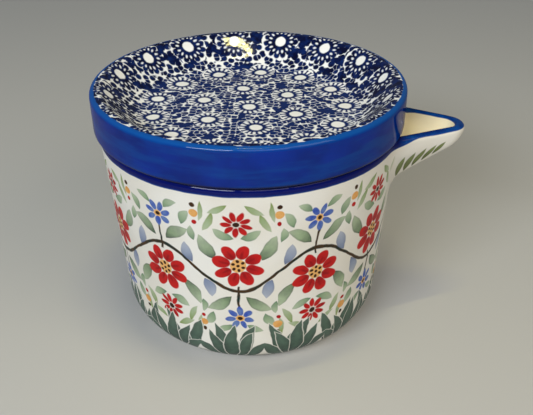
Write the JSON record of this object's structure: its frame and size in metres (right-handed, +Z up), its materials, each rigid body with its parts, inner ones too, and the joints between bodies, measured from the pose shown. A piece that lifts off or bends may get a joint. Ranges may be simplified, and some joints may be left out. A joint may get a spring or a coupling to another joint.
{
  "type": "covered pouring jar",
  "caption": "Small glazed stoneware jar with a flared wall, an open pouring spout at the rim and a loose lid with a dished top and a locating ring.",
  "frame": {"origin": "on the jar's axis, in the plane that its foot ring stands on", "axes": "+Z up along the jar's axis, +X out along the spout"},
  "size_m": [0.1532, 0.1282, 0.1072],
  "materials": {
    "jar_glaze": "gloss",
    "lid_glaze": "gloss"
  },
  "bodies": {
    "jar": {"jar": "jar_glaze"},
    "lid": {"lid": "lid_glaze"}
  },
  "joints": [
    {"name": "lid_lift", "type": "slide", "parent": "jar", "child": "lid", "axis": [0, 0, 1], "range_m": [0, 0.06]}
  ]
}
